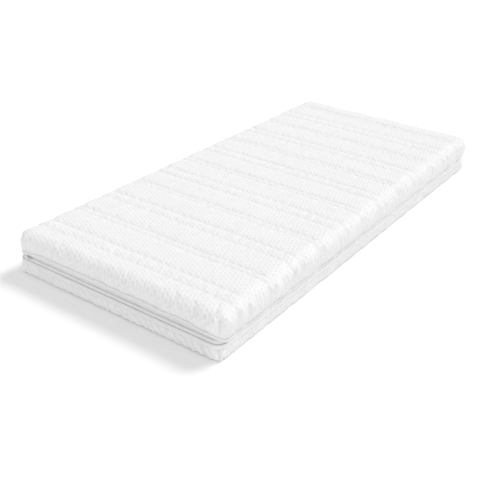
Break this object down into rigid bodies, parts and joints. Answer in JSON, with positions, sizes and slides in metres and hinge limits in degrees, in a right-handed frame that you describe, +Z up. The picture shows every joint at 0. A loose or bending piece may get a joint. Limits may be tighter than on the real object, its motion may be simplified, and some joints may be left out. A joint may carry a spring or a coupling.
{
  "type": "mattress",
  "caption": "Flat foam mattress in a quilted knit cover that parts into two halves at an encircling zip.",
  "frame": {"origin": "centre of the underside", "axes": "+Y along the mattress's length, from the short side with the zip slider to the other; +X across its width; +Z up, towards the sleeping surface"},
  "size_m": [0.9, 2, 0.16],
  "materials": {
    "knit_fabric": "matte",
    "wadding": "matte",
    "backing": "matte",
    "hem": "matte",
    "zip_tape": "matte",
    "zip_coil": "satin",
    "slider_metal": "satin",
    "liner": "matte",
    "memory_foam": "matte",
    "support_foam": "matte",
    "seam_thread": "matte"
  },
  "bodies": {
    "cover_bottom": {"bottom_cover_fabric": "knit_fabric", "bottom_cover_wadding": "wadding", "bottom_cover_backing": "backing", "lower_hem": "hem", "zip_tape_lower": "zip_tape", "zip_coil_lower": "zip_coil", "lower_seam_near_right": "seam_thread", "lower_seam_far_right": "seam_thread", "lower_seam_far_left": "seam_thread", "lower_seam_near_left": "seam_thread"},
    "core": {"inner_liner": "liner", "liner_end_panel": "liner", "memory_foam_layer": "memory_foam", "support_foam_core": "support_foam"},
    "cover_top": {"top_cover_fabric": "knit_fabric", "top_cover_wadding": "wadding", "top_cover_backing": "backing", "upper_hem": "hem", "zip_tape_upper": "zip_tape", "zip_coil_upper": "zip_coil", "upper_seam_near_right": "seam_thread", "upper_seam_far_right": "seam_thread", "upper_seam_far_left": "seam_thread", "upper_seam_near_left": "seam_thread"},
    "slider": {"zip_slider": "slider_metal"},
    "pull_tab": {"zip_pull_tab": "slider_metal"}
  },
  "joints": [
    {"name": "core_lift", "type": "slide", "parent": "cover_bottom", "child": "core", "axis": [0, 0, 1], "range_m": [0, 0.3]},
    {"name": "cover_top_lift", "type": "slide", "parent": "core", "child": "cover_top", "axis": [0, 0, 1], "range_m": [0, 0.3]},
    {"name": "slider_run", "type": "slide", "parent": "cover_bottom", "child": "slider", "axis": [1, 0, 0], "range_m": [0, 0.78]},
    {"name": "pull_tab_hinge", "type": "hinge", "parent": "slider", "child": "pull_tab", "pos_m": [-0.398, -0.9974, 0.072], "axis": [0, 0, -1], "range_deg": [0, 165]}
  ]
}
